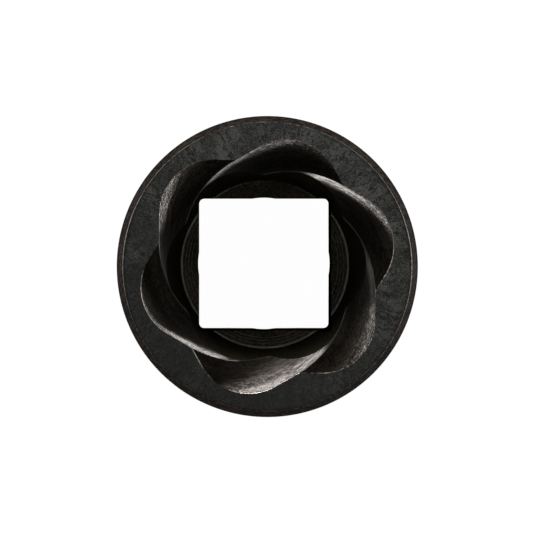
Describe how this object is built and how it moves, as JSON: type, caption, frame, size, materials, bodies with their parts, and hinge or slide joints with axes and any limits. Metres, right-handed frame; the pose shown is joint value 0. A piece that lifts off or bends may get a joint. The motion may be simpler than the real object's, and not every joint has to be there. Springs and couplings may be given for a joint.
{
  "type": "nut extractor socket",
  "caption": "Dark steel socket with a tapering left-hand spiral mouth that bites on worn nuts, a relieved chamber and a square drive hole right through.",
  "frame": {"origin": "middle of the flat drive end, on the socket's axis", "axes": "+Z along the socket's axis from the square drive end to the spiral mouth; X and Y square to the sides of the drive hole"},
  "size_m": [0.028, 0.028, 0.05],
  "materials": {
    "dark_steel": "black phosphated steel, fine matt grain, bright where edges are worn"
  },
  "bodies": {
    "root": {"extractor_socket": "dark_steel"}
  },
  "joints": []
}
